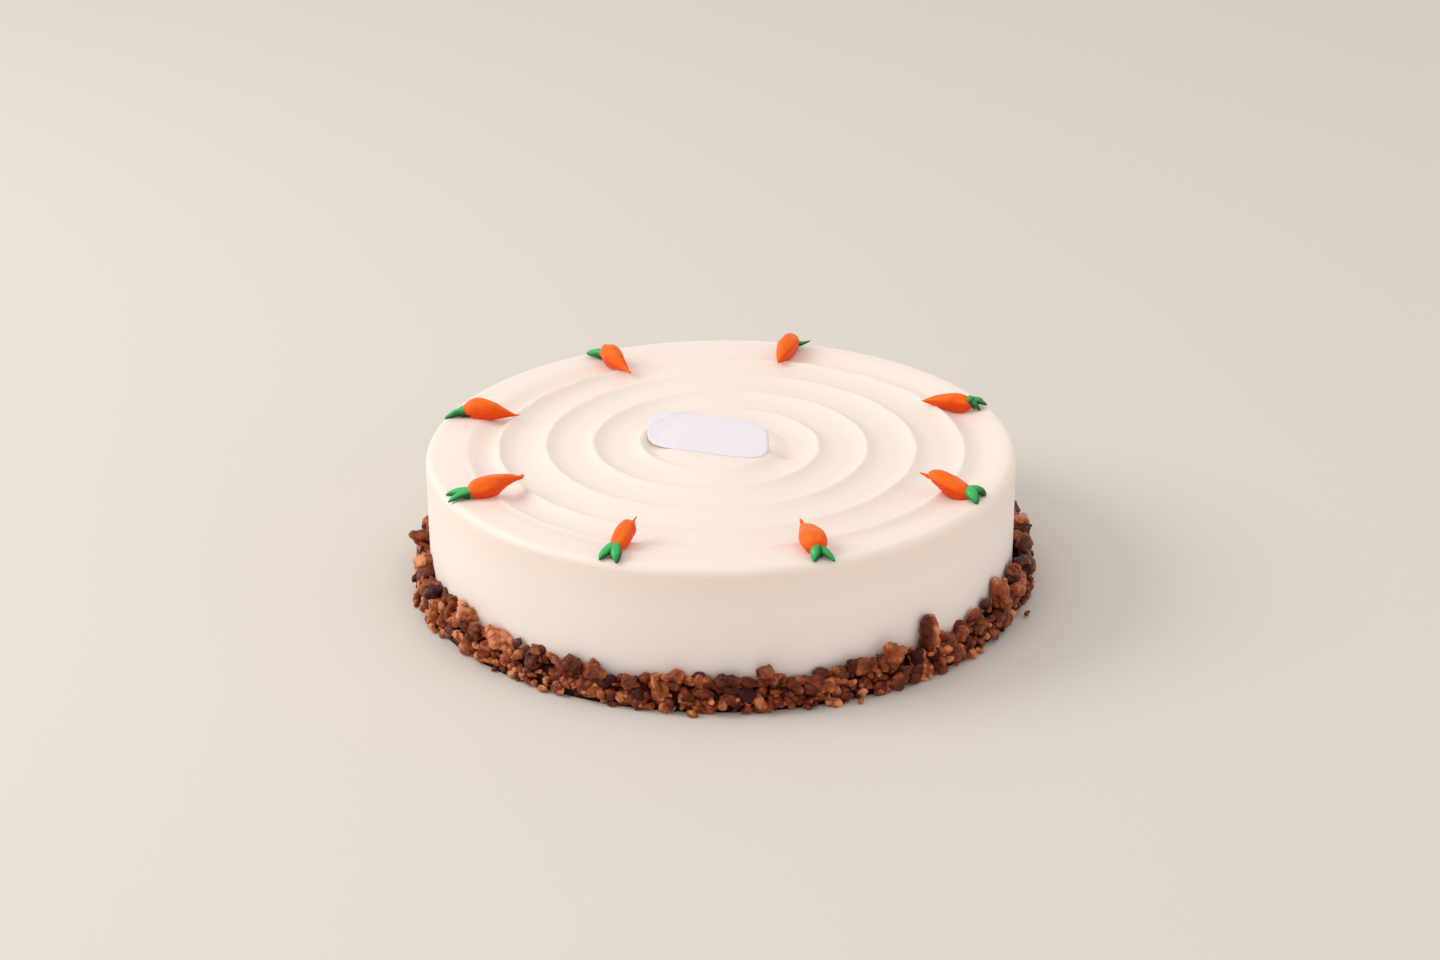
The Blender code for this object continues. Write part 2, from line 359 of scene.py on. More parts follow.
def bumped(sheet: NodeSheet, height: Signal, strength: float, depth: float) -> Signal:
    """A normal that is roughened by a height pattern."""
    return sheet.signal("ShaderNodeBump", Height=height, Strength=strength, Distance=depth)


@dataclass(frozen=True)
class FrostingFinish(Finish):
    """Moist cream-cheese frosting: warm white, a touch translucent, with a soft and uneven gloss; its side is
    painted paler and bluer, as light bounced up onto it from below.
    """

    name: str = "cream_frosting"
    cream: Colour = (0.930, 0.792, 0.700)
    butter: Colour = (0.920, 0.770, 0.665)
    # Painted bounce light: the side's paler, bluer colour stands for light reflected up onto it from below.
    wall: Colour = (0.935, 0.832, 0.765)
    wall_top: float = 0.0555
    wall_blend: float = 0.020
    cloud_scale: float = 16.0
    smear_scale: float = 60.0

    def wire(self, sheet: NodeSheet, shader: Node) -> None:
        """Feeds the shader's inputs."""
        smears = soft_noise(sheet, self.smear_scale)
        height = sheet.split(object_place(sheet))[2]
        top = blend_colours(sheet, soft_noise(sheet, self.cloud_scale), self.cream, self.butter)
        # Below the top, the side takes the painted bounce-light colour.
        on_top = sheet.ease(height, self.wall_top - self.wall_blend, self.wall_top)
        sheet.fill(
            shader,
            Base_Color=blend_colours(sheet, on_top, self.wall, top),
            Roughness=sheet.ease(smears, 0.3, 0.7, 0.42, 0.60),
            Subsurface_Weight=0.12,
            Subsurface_Scale=0.0025,
            Subsurface_Radius=(1.0, 0.75, 0.55),
            Normal=bumped(sheet, smears, 0.10, 0.0006),
        )


@dataclass(frozen=True)
class NutFinish(Finish):
    """Caramelised chopped nuts: each piece has its own brown, darker in its creases, partly the nut's darker
    skin and partly painted shade, and a sticky gloss.
    """

    name: str = "caramelised_nuts"
    browns: tuple[tuple[float, Colour], ...] = (
        (0.0, (0.034, 0.005, 0.003)),
        (0.35, (0.135, 0.022, 0.008)),
        (0.70, (0.360, 0.082, 0.024)),
        (1.0, (0.740, 0.290, 0.130)),
    )
    grain_scale: float = 420.0
    grain_share: float = 0.9
    specular: float = 0.40
    gloss_tint: Colour = (1.0, 0.56, 0.42)

    def wire(self, sheet: NodeSheet, shader: Node) -> None:
        """Feeds the shader's inputs."""
        grain = soft_noise(sheet, self.grain_scale, 3.0)
        shift = sheet.math("MULTIPLY_ADD", grain, self.grain_share, -0.48)
        ramp = sheet.node("ShaderNodeValToRGB", Fac=read_attribute(sheet, "tone") + shift)
        while len(ramp.color_ramp.elements) < len(self.browns):
            ramp.color_ramp.elements.new(0.5)
        for element, (place, colour) in zip(ramp.color_ramp.elements, self.browns):
            element.position = place
            element.color = (*colour, 1.0)
        sheet.fill(
            shader,
            Base_Color=Signal(sheet, ramp.outputs[0]),
            Roughness=sheet.ease(grain, 0.35, 0.65, 0.16, 0.50),
            Specular_IOR_Level=self.specular,
            Specular_Tint=(*self.gloss_tint, 1.0),
            Normal=bumped(sheet, soft_noise(sheet, 900.0, 3.0), 0.60, 0.0008),
        )


@dataclass(frozen=True)
class PlainNutFinish(Finish):
    """One brown for a whole piece, broken up by its grain: the band's core, whose near-black brown is painted
    shade for the gaps between the nuts, and the raisins.
    """

    name: str = "nut_gap_shade"
    dark: Colour = (0.012, 0.003, 0.002)
    light: Colour = (0.050, 0.012, 0.006)
    scale: float = 260.0
    specular: float = 0.10
    wrinkle: float = 0.5
    gloss_tint: Colour = (1.0, 0.55, 0.45)

    def wire(self, sheet: NodeSheet, shader: Node) -> None:
        """Feeds the shader's inputs."""
        grain = soft_noise(sheet, self.scale, 3.0)
        sheet.fill(
            shader,
            Base_Color=blend_colours(sheet, grain, self.dark, self.light),
            Roughness=sheet.ease(grain, 0.3, 0.7, 0.40, 0.65),
            Specular_IOR_Level=self.specular,
            Specular_Tint=(*self.gloss_tint, 1.0),
            Normal=bumped(sheet, soft_noise(sheet, self.scale * 2.5), self.wrinkle, 0.0008),
        )


@dataclass(frozen=True)
class ButtercreamFinish(Finish):
    """Coloured buttercream with a soft gloss: its colour is painted deep in the shade and painted paler where
    it faces the key light.
    """

    name: str = "piped_orange_cream"
    deep: Colour = (0.80, 0.068, 0.005)
    pale: Colour = (0.93, 0.158, 0.016)
    gloss_tint: Colour = (1.0, 0.75, 0.55)
    subsurface: float = 0.03
    specular: float = 0.16

    def wire(self, sheet: NodeSheet, shader: Node) -> None:
        """Feeds the shader's inputs."""
        streaks = soft_noise(sheet, 170.0)
        facing = read_attribute(sheet, "facing")
        # Painted light and shade: the pale share grows where the cream faces the key light and stays deep
        # where it faces away.
        share = sheet.ease(sheet.math("MULTIPLY_ADD", streaks, 0.6, facing), 0.70, 1.25)
        sheet.fill(
            shader,
            Base_Color=blend_colours(sheet, share, self.deep, self.pale),
            Roughness=sheet.ease(soft_noise(sheet, 300.0), 0.3, 0.7, 0.28, 0.46),
            Specular_IOR_Level=self.specular,
            Specular_Tint=(*self.gloss_tint, 1.0),
            Subsurface_Weight=self.subsurface,
            Subsurface_Scale=0.0015,
            Subsurface_Radius=(1.0, 0.4, 0.2),
            Normal=bumped(sheet, soft_noise(sheet, 420.0), 0.12, 0.0005),
        )


@dataclass(frozen=True)
class SheetFinish(Finish):
    """Smooth dry stuff of one colour with a faint mottling: the sugar sheet and the floor."""

    name: str = "white_sugar_sheet"
    colour: Colour = (0.86, 0.79, 0.83)
    mottle: float = 0.03
    scale: float = 300.0
    roughness: float = 0.5

    def wire(self, sheet: NodeSheet, shader: Node) -> None:
        """Feeds the shader's inputs."""
        worn = tuple(channel * (1 - self.mottle) for channel in self.colour)
        patches = soft_noise(sheet, self.scale)
        sheet.fill(
            shader,
            Base_Color=blend_colours(sheet, patches, self.colour, worn),
            Roughness=sheet.ease(patches, 0.2, 0.8, self.roughness, self.roughness + 0.1),
            Normal=bumped(sheet, patches, 0.05, 0.0003),
        )


ORANGE_CREAM = ButtercreamFinish()
GREEN_CREAM = ButtercreamFinish(
    "piped_green_cream", (0.0, 0.055, 0.004), (0.040, 0.460, 0.105), (0.80, 1.0, 0.85), 0.03, 0.45
)
RAISINS = PlainNutFinish("dark_raisins", (0.016, 0.003, 0.004), (0.062, 0.011, 0.014), 330.0, 0.22, 0.6)
# The core's near-black finish is painted shade for the gaps between the nut pieces.
NUT_GAP_SHADE = PlainNutFinish()
SUGAR_SHEET = SheetFinish()
PALE_FLOOR = SheetFinish("pale_floor", (0.712, 0.648, 0.580), 0.01, 3.0, 0.75)


# ---- Meshes and pieces ----


def place_object(name: str, mesh: Mesh) -> Piece:
    """An object of the mesh, in the scene and at the origin."""
    piece = bpy.data.objects.new(name, mesh)
    bpy.context.scene.collection.objects.link(piece)
    return piece


def mesh_of(name: str, points: Sequence[Any], faces: Sequence[Sequence[int]]) -> Mesh:
    """A closed mesh with its doubles merged and its faces pointing out.

    Args:
        name: The mesh's name.
        points: The places of its points.
        faces: The points of each face, by number.

    Returns:
        The mesh, shaded smooth.
    """
    mesh = bpy.data.meshes.new(name)
    mesh.from_pydata([tuple(point) for point in points], [], faces)
    builder = bmesh.new()
    builder.from_mesh(mesh)
    bmesh.ops.remove_doubles(builder, verts=builder.verts, dist=1e-6)
    bmesh.ops.recalc_face_normals(builder, faces=builder.faces)
    builder.to_mesh(mesh)
    builder.free()
    mesh.shade_smooth()
    return mesh


def tube_faces(rings: int, sides: int) -> list[tuple[int, ...]]:
    """The faces of a tube whose points lie ring by ring, with its two ends closed by one face each."""
    faces: list[tuple[int, ...]] = []
    for ring in range(rings - 1):
        for side in range(sides):
            after = (side + 1) % sides
            low, high = ring * sides, (ring + 1) * sides
            faces.append((low + side, low + after, high + after, high + side))
    faces.append(tuple(range(sides)))
    faces.append(tuple(range((rings - 1) * sides, rings * sides)))
    return faces


def keep_number(mesh: Mesh, name: str, values: Sequence[float]) -> None:
    """Keeps a number on each point of a mesh as a named attribute."""
    mesh.attributes.new(name, "FLOAT", "POINT").data.foreach_set("value", values)


def store_facing(mesh: Mesh) -> None:
    """Keeps on each point how much it faces up and to the left, towards the key light, from 0 to 1, as the
    attribute "facing", which paints light and shade onto the piped cream.
    """
    towards = Vector((-0.45, -0.05, 0.89)).normalized()
    keep_number(mesh, "facing", [0.5 + 0.5 * normal.vector.dot(towards) for normal in mesh.vertex_normals])


def polar(radius: float, angle: float, height: float) -> Vector:
    """The point at that radius, angle and height."""
    return Vector((radius * math.cos(angle), radius * math.sin(angle), height))


def ease(low: float, high: float, value: float) -> float:
    """0 below low, 1 above high, and a smooth step between them."""
    share = min(1.0, max(0.0, (value - low) / (high - low)))
    return share * share * (3 - 2 * share)


def finish_piece(piece: Piece, slot: Slot, *nodes: str) -> Piece:
    """Lets a piece ride on the cake and stand for its CAD nodes.

    Args:
        piece: The finished mesh object.
        slot: The record's material slot; not used.
        nodes: The CAD nodes that it stands for.

    Returns:
        The same piece.
    """
    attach(piece, BODY)
    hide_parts(*nodes)
    LOG.info("%s: %d faces", piece.name, len(piece.data.polygons))
    return piece


# ---- The frosted cake ----


@dataclass
class FrostedCake:
    """The cake under its frosting: a smooth drum whose top is combed with one spiral groove."""

    radius: float
    height: float
    edge_round: float = 0.0034
    groove_pitch: float = 0.0195
    groove_depth: float = 0.0026
    groove_start: float = 0.0021
    hollow_power: float = 2.8
    drift_x: float = -0.0012
    drift_y: float = 0.0018
    last_turn_pull: float = 0.0031
    left_depth: float = 0.35
    front_share: float = 0.45
    waviness: float = 0.00014
    inner_fade: Span = (0.018, 0.029)
    outer_fade: Span = (0.099, 0.112)
    outer_fade_shift: float = 0.0050
    last_turn: Span = (0.090, 0.104)
    pull_angle: float = math.radians(15)
    last_hollow_in: Span = (0.068, 0.080)
    last_hollow_out: Span = (0.090, 0.096)
    snap_in: Span = (0.012, 0.020)
    snap_out: Span = (0.105, 0.112)
    mark_x: float = 0.0262
    mark_y: float = -0.0072
    mark_long: float = 0.0080
    mark_wide: float = 0.0026
    mark_deep: float = 0.0030
    mark_turn: float = math.radians(3)
    columns: int = 400
    rim_rows: int = 8
    side_rows: int = 12
    row_spacing: float = 0.00078
    surface: BVHTree | None = field(default=None, repr=False)

    @classmethod
    def from_frame(cls, node: str) -> FrostedCake:
        """The cake at the size of its CAD node."""
        low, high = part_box(node)
        return cls(radius=(high.x - low.x) / 2, height=high.z)

    def profile(self) -> list[tuple[float, float]]:
        """Radius and height along the cake's outline, from the middle of the top to that of the underside."""
        rim = self.radius - self.edge_round
        rows = round(rim / self.row_spacing)
        points = [(rim * row / rows, self.height) for row in range(rows + 1)]
        for step in range(1, self.rim_rows + 1):
            turn = math.pi / 2 * step / self.rim_rows
            drop = self.edge_round * (1 - math.cos(turn))
            points.append((rim + self.edge_round * math.sin(turn), self.height - drop))
        foot = points[-1][1]
        points += [(self.radius, foot * (1 - row / self.side_rows)) for row in range(1, self.side_rows + 1)]
        return [*points, (self.radius * 0.5, 0.0), (0.0, 0.0)]

    def drum(self) -> Mesh:
        """The plain drum that the groove is combed into."""
        profile = self.profile()
        turns = [math.tau * column / self.columns for column in range(self.columns)]
        points = [polar(radius, turn, height) for radius, height in profile for turn in turns]
        return mesh_of("frosting_drum", points, tube_faces(len(profile), self.columns)[:-2])

    def comb(self) -> GeometrySheet:
        """The tree that combs the groove: it lowers the hollows and draws the nearest row onto each crest."""
        sheet = GeometrySheet("Combed Frosting", {**inputs_of(self), "Material": FrostingFinish().material()})
        get, calc, step = sheet.get, sheet.math, sheet.ease
        place = sheet.signal("GeometryNodeInputPosition")
        x, y, z = sheet.split(place)
        radius = calc("MAXIMUM", calc("SQRT", x * x + y * y), 1e-5)
        around = calc("ARCTAN2", y, x)
        rightness = calc("COSINE", around)
        share = radius / get("Radius")
        aside = x * get("Drift X") + y * get("Drift Y")
        drifted = radius - (1.0 - share * share) * (aside / radius)
        lean = 1.0 - calc("COSINE", around - get("Pull Angle"))
        pull = lean * get("Last Turn Pull") * step(radius, *self.last_turn)
        turns = (drifted + pull - get("Groove Start")) / get("Groove Pitch") + around / math.tau
        across = calc("FRACT", turns + 10.0)
        off_crest = (across - calc("ROUND", across)) * get("Groove Pitch")
        near = calc("LESS_THAN", calc("ABSOLUTE", off_crest), get("Row Spacing") * 0.5)
        away = calc("ABSOLUTE", across * 2.0 - 1.0)
        hollow = (1.0 - calc("POWER", away, get("Hollow Power"))) * (1.0 - near)
        drawn_in = radius - rightness * get("Outer Fade Shift")
        fade = step(radius, *self.inner_fade) * step(drawn_in, *self.outer_fade, 1.0, 0.0)
        last_hollow = step(radius, *self.last_hollow_in) * step(radius, *self.last_hollow_out, 1.0, 0.0)
        fade = fade * (calc("MAXIMUM", -rightness, 0.0) * last_hollow * get("Left Depth") + 1.0)
        fade = fade * step(calc("ABSOLUTE", rightness), 0.0, 0.75, get("Front Share"), 1.0)
        on_top = calc("GREATER_THAN", z, get("Height") - 0.0001)
        amount = hollow * fade * (get("Groove Depth") * on_top)
        snapped = step(radius, *self.snap_in) * step(radius, *self.snap_out, 1.0, 0.0)
        factor = -(near * off_crest * (on_top * snapped)) / radius
        down = -(amount + self.lift_mark(sheet, x, y) * on_top)
        wave = sheet.signal("ShaderNodeTexNoise", Vector=place, Scale=26.0, Detail=1.0)
        swell = (wave - 0.5) * get("Waviness") * step(z, 0.0, 0.006)
        combed = sheet.combine(x * factor, y * factor, down)
        offset = sheet.total(combed, sheet.stretch(sheet.signal("GeometryNodeInputNormal"), swell))
        sheet.end(sheet.signal("GeometryNodeSetPosition", Geometry=get("Geometry"), Offset=offset))
        return sheet

    @staticmethod
    def lift_mark(sheet: GeometrySheet, x: Signal, y: Signal) -> Signal:
        """The small dent beside the plaque where the comb was first set down, as a depth in metres."""
        get, calc = sheet.get, sheet.math
        x, y = x - get("Mark X"), y - get("Mark Y")
        cosine, sine = calc("COSINE", get("Mark Turn")), calc("SINE", get("Mark Turn"))
        along = (x * cosine + y * sine) / get("Mark Long")
        across = (y * cosine - x * sine) / get("Mark Wide")
        return calc("EXPONENT", -(along * along + across * across)) * get("Mark Deep")

    def build(self) -> Piece:
        """Combs the drum, keeps its surface for what is piped onto it, and returns the frosting."""
        piece = self.comb().run(self.drum(), "frosting")
        points = [vertex.co.copy() for vertex in piece.data.vertices]
        self.surface = BVHTree.FromPolygons(points, [tuple(face.vertices) for face in piece.data.polygons])
        return finish_piece(piece, Slot.FROSTING, "frosted_cake")

    def height_at(self, x: float, y: float) -> float:
        """Height of the frosting at a place, or 0 where there is none."""
        hit = self.surface.ray_cast(Vector((x, y, self.height + 0.02)), Vector((0, 0, -1)))
        return hit[0].z if hit[0] is not None else 0.0

    def rest_height(self, place: Vector) -> float:
        """Height at which stiff cream lies: on the frosting, and level near the rim and past it."""
        inside = place.xy.length < self.radius - 3 * self.edge_round
        return self.height_at(place.x, place.y) if inside else self.height - 0.0004


# ---- The band of nuts ----


@dataclass
class HeapedPieces:
    """One kind of broken piece, heaped round the cake's foot row by row."""

    name: str
    finish: Finish
    per_row: int
    rows: int
    low: float
    high: float
    foot_radius: float
    top_radius: float
    small: float
    large: float
    heap_height: float = 0.0135
    right_rise: float = 0.0050
    left_rise: float = 0.0030
    unevenness: float = 0.0026
    spread: float = 0.0008
    stretch: float = 1.3
    upright: float = 0.0
    shift_right: float = 0.0008
    row_stagger: float = 0.37
    row_jitter: float = 0.48
    lumps: float = 0.48
    lump_count: float = 1.25
    crease_shade: float = 0.70
    crease_reach: float = 0.42
    chips: float = 0.34
    subdivisions: int = 2
    tone_low: float = 0.0
    tone_high: float = 1.0
    # Painted light: how much lighter the pieces towards the left are made, where the key light falls on them.
    left_tone: float = 0.20
    faceted: bool = True
    seed: int = 1

    def tree(self, cake: FrostedCake) -> GeometrySheet:
        """The tree that heaps the pieces, breaks each one's shape and keeps its tone."""
        own = {"Cake Radius": cake.radius, "Material": self.finish.material()}
        sheet = GeometrySheet(f"Heap {self.name}", {**inputs_of(self), **own})
        points, around = self.scatter(sheet)
        broken = self.break_shapes(sheet, self.instances(sheet, points, around))
        sheet.end(self.keep_clear(sheet, broken), not self.faceted)
        return sheet

    @staticmethod
    def heap_top(sheet: GeometrySheet, ring: Signal) -> Signal:
        """Height of the heap along the ring: higher towards both sides, with hills and dips."""
        get, calc = sheet.get, sheet.math
        aside = sheet.split(ring)[0]
        right = calc("POWER", calc("MAXIMUM", aside, 0.0), 2.0)
        left = calc("POWER", calc("MAXIMUM", -aside, 0.0), 2.0)
        rise = right * get("Right Rise") + left * get("Left Rise")
        hills = sheet.signal("ShaderNodeTexNoise", Vector=ring, Scale=6.0, Detail=1.0)
        return get("Heap Height") + rise + (hills - 0.5) * (get("Unevenness") * 5.0)

    def scatter(self, sheet: GeometrySheet) -> tuple[Signal, Signal]:
        """Points in jittered rows round the cake.

        Args:
            sheet: The tree.

        Returns:
            The points, and each one's angle round the cake.
        """
        get, calc, jitter = sheet.get, sheet.math, sheet.get("Row Jitter")
        index = sheet.signal("GeometryNodeInputIndex")
        row = calc("FLOOR", (index + 0.5) / get("Per Row"))
        column = index - row * get("Per Row")
        shifted = column + row * get("Row Stagger") + sheet.random(-jitter, jitter, 1)
        around = shifted / get("Per Row") * math.tau
        step = (row + 0.5 + sheet.random(-jitter, jitter, 2)) / get("Rows")
        ring = sheet.combine(calc("COSINE", around), calc("SINE", around))
        height = self.heap_top(sheet, ring) * (step * (get("High") - get("Low")) + get("Low"))
        slope = (get("Top Radius") - get("Foot Radius")) * step
        spread = sheet.random(-1.0, 1.0, 3) * get("Spread")
        shift = calc("COSINE", around) * get("Shift Right")
        radius = get("Foot Radius") + slope + (spread + shift)
        place = sheet.total(sheet.stretch(ring, radius), sheet.combine(z=height))
        count = get("Per Row") * get("Rows")
        return sheet.signal("GeometryNodePoints", Count=count, Position=place), around

    @staticmethod
    def instances(sheet: GeometrySheet, points: Signal, around: Signal) -> Signal:
        """A ball on each point, turned and stretched at random, with its size, tone and seed kept on it."""
        get, calc, draw = sheet.get, sheet.math, sheet.random
        ball = sheet.signal("GeometryNodeMeshIcoSphere", Radius=0.5, Subdivisions=get("Subdivisions"))
        size = get("Small") + calc("POWER", draw(0.0, 1.0, 4), 1.4) * (get("Large") - get("Small"))
        long, wide, deep = draw(1.0, get("Stretch"), 5), draw(0.65, 1.0, 6), draw(0.50, 0.90, 7)
        tilt = (1.0 - get("Upright")) * math.pi
        turn = sheet.combine(draw(-tilt, tilt, 8), draw(-tilt, tilt, 9), around)
        placed = sheet.signal(
            "GeometryNodeInstanceOnPoints",
            Points=points,
            Instance=ball,
            Rotation=sheet.signal("FunctionNodeEulerToRotation", Euler=turn),
            Scale=sheet.combine(size * deep, size * wide, size * long),
        )
        # Painted light: pieces towards the left, where the key light falls, are made lighter.
        leftness = calc("MAXIMUM", -calc("COSINE", around), 0.0)
        tone = draw(get("Tone Low"), get("Tone High"), 10) + leftness * get("Left Tone")
        placed = sheet.store(placed, "piece_tone", calc("MINIMUM", tone, 1.0), "INSTANCE")
        placed = sheet.store(placed, "piece_size", size, "INSTANCE")
        placed = sheet.store(placed, "piece_seed", draw(0.0, 50.0, 11), "INSTANCE")
        return sheet.signal("GeometryNodeRealizeInstances", Geometry=placed)

    @staticmethod
    def break_shapes(sheet: GeometrySheet, balls: Signal) -> Signal:
        """Makes each ball a cluster of knobs with sharp creases between them, and paints the creases darker
        and the knobs lighter: painted shade and light, as well as the darker skin in a nut's folds.
        """
        get, size = sheet.get, sheet.attribute("piece_size")
        local = sheet.stretch(sheet.signal("GeometryNodeInputPosition"), sheet.math("DIVIDE", 1.0, size))
        own = {"Vector": local, "W": sheet.attribute("piece_seed")}
        settings = {"voronoi_dimensions": "4D", "feature": "F1"}
        cells = sheet.signal("ShaderNodeTexVoronoi", settings, Scale=get("Lump Count"), **own)
        knob = get("Crease Reach") - cells
        # Painted shade in the creases and painted light on the knobs, together with the nut's darker skin in
        # its folds.
        tone = knob * get("Crease Shade") + sheet.attribute("piece_tone")
        balls = sheet.store(balls, "tone", tone, "POINT")
        chip = sheet.signal("ShaderNodeTexNoise", {"noise_dimensions": "4D"}, Scale=2.6, Detail=1.0, **own)
        height = (knob * get("Lumps") + (chip - 0.5) * get("Chips")) * size
        offset = sheet.stretch(sheet.signal("GeometryNodeInputNormal"), height)
        return sheet.signal("GeometryNodeSetPosition", Geometry=balls, Offset=offset)

    @staticmethod
    def keep_clear(sheet: GeometrySheet, pieces: Signal) -> Signal:
        """Keeps the pieces above the ground and out of the cake, where they press flat."""
        calc = sheet.math
        x, y, z = sheet.split(sheet.signal("GeometryNodeInputPosition"))
        radius = calc("SQRT", x * x + y * y)
        factor = calc("MAXIMUM", radius, sheet.get("Cake Radius") - 0.0004) / radius
        moved = sheet.combine(x * factor, y * factor, calc("MAXIMUM", z, 0.0))
        return sheet.signal("GeometryNodeSetPosition", Geometry=pieces, Position=moved)

    def build(self, cake: FrostedCake) -> Piece:
        """Heaps the pieces against the cake and returns them as one mesh."""
        piece = self.tree(cake).run(bpy.data.meshes.new(f"{self.name}_start"), self.name)
        return finish_piece(piece, Slot.NUTS, "nut_crumb_band")


@dataclass
class NutBand:
    """The chopped nuts round the cake's foot: a dark core that is painted shade for the gaps, and the kinds
    of piece heaped over it.
    """

    cake: FrostedCake
    outer: float
    core_height: float = 0.0095
    core_share: float = 0.55
    core_columns: int = 240
    core_rows: int = 10
    tall_radius: float = 0.0034
    tall_stand_off: float = 0.0032
    tall_rings: int = 40
    tall_sides: int = 40
    seed: int = 7

    @classmethod
    def from_frame(cls, cake: FrostedCake, node: str) -> NutBand:
        """The band at the size of its CAD node."""
        low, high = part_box(node)
        return cls(cake=cake, outer=(high.x - low.x) / 2)

    def core(self) -> Piece:
        """The uneven dark core that closes the gaps between the pieces: painted shade where the gaps fall
        dark.
        """
        inner = self.cake.radius + 0.0001
        depth = (self.outer - inner) * self.core_share
        rows, columns = self.core_rows, self.core_columns
        points = []
        for column in range(columns):
            angle = math.tau * column / columns
            for step in range(rows):
                if step >= rows - 2:
                    radius, height = inner, self.core_height * (rows - 1 - step)
                else:
                    bend = math.pi / 2 * step / (rows - 3)
                    radius = inner + depth * math.cos(bend) ** 0.8
                    height = self.core_height * math.sin(bend)
                point = polar(radius, angle, height)
                bump = noise.noise(point * 260) * 0.0012 if 0 < step < rows - 2 else 0.0
                points.append(point + polar(bump, angle, bump * 0.8))
        faces = []
        for here in range(0, columns * rows, rows):
            there = (here + rows) % (columns * rows)
            for step in range(rows):
                after = (step + 1) % rows
                faces.append((here + step, here + after, there + after, there + step))
        piece = place_object("nut_gap_shade", mesh_of("nut_gap_shade", points, faces))
        piece.data.materials.append(NUT_GAP_SHADE.material())
        return finish_piece(piece, Slot.NUTS, "nut_crumb_band")

    def kinds(self) -> list[HeapedPieces]:
        """The kinds of piece in the band, from the crumbs on the ground to the large pieces on top."""
        foot, wall = self.outer, self.cake.radius
        nuts = NutFinish()
        return [
            HeapedPieces(
                "foot_crumbs", nuts, 200, 3, 0.08, 0.46, foot - 0.0024, foot - 0.0038,
                0.0034, 0.0070, spread=0.0012, tone_low=0.22, tone_high=1.0, seed=self.seed,
            ),
            HeapedPieces(
                "side_crumbs", nuts, 132, 4, 0.28, 0.95, wall + 0.0054, wall + 0.0022,
                0.0044, 0.0086, spread=0.0012, tone_low=0.10, tone_high=0.88, lumps=0.42,
                seed=self.seed + 1,
            ),
            HeapedPieces(
                "nut_pieces", nuts, 60, 1, 0.58, 0.98, wall + 0.0040, wall + 0.0034,
                0.0082, 0.0122, stretch=1.35, upright=0.55, lumps=0.34, lump_count=2.2,
                subdivisions=3, tone_low=0.18, tone_high=0.90, seed=self.seed + 2,
            ),
            HeapedPieces(
                "dark_raisins", RAISINS, 25, 1, 0.45, 0.95, wall + 0.0044, wall + 0.0040,
                0.0070, 0.0096, stretch=1.2, upright=0.4, lumps=0.42, lump_count=2.0,
                subdivisions=3, left_tone=0.0, faceted=False, seed=self.seed + 3,
            ),
            HeapedPieces(
                "stray_crumbs", nuts, 11, 1, 0.07, 0.09, foot + 0.0004, foot + 0.0004,
                0.0032, 0.0050, unevenness=0.0, spread=0.0014, tone_low=0.4, seed=self.seed + 4,
            ),
        ]

    def tall_piece(self) -> Piece:
        """The tall nut half that leans on the cake above the band."""
        low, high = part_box("tall_nut_piece")
        middle = (low + high) / 2
        angle = math.atan2(middle.y, middle.x)
        half_height = (high.z - low.z) / 2
        rings, sides = self.tall_rings, self.tall_sides
        points, tones = [], []
        for ring in range(rings + 1):
            rise = math.cos(math.pi * ring / rings)
            waist = math.sin(math.pi * ring / rings) ** 0.42 * (1 - 0.10 * rise)
            for side in range(sides):
                turn = math.tau * side / sides
                ridge = 1 + 0.16 * abs(math.sin(2.5 * turn + 0.6 * rise)) - 0.06 * math.cos(9 * rise) * waist
                outwards = self.tall_radius * waist * ridge * math.cos(turn)
                across = self.tall_radius * waist * ridge * math.sin(turn)
                spot = Vector((outwards, across, rise * half_height)) * 420 + Vector((3, 1, 7))
                lump = noise.noise(spot) * 0.0008
                stand_off = max(self.tall_stand_off + outwards + lump, 0.0001)
                radius = self.cake.radius + stand_off
                height = middle.z - 0.0006 + half_height * rise
                points.append(polar(radius, angle + (across + lump) / radius, height))
                # Painted shade and highlight: the left third is made darker and the right side lighter; the
                # raised ridges are a little lighter too.
                tones.append(0.26 + 0.56 * ease(-0.5, 0.2, math.sin(turn)) + 0.5 * (ridge - 1.1))
        mesh = mesh_of("tall_nut", points, tube_faces(rings + 1, sides)[:-2])
        piece = place_object("tall_nut", mesh)
        nearest = KDTree(len(points))
        for index, point in enumerate(points):
            nearest.insert(point, index)
        nearest.balance()
        keep_number(mesh, "tone", [tones[nearest.find(vertex.co)[1]] for vertex in mesh.vertices])
        piece.data.materials.append(NutFinish().material())
        return finish_piece(piece, Slot.NUTS, "tall_nut_piece")

    def build(self) -> None:
        """Builds the core, every kind of piece and the tall one."""
        self.core()
        for kind in self.kinds():
            kind.build(self.cake)
        self.tall_piece()


# ---- Piped carrots ----


@dataclass(frozen=True)
class Stroke:
    """One stroke of a carrot's greens: its turn from straight back in degrees, size and bluntness."""

    turn: float
    length: float
    radius: float = 0.0021
    blunt: float = 2.2
    lift: float = 0.0


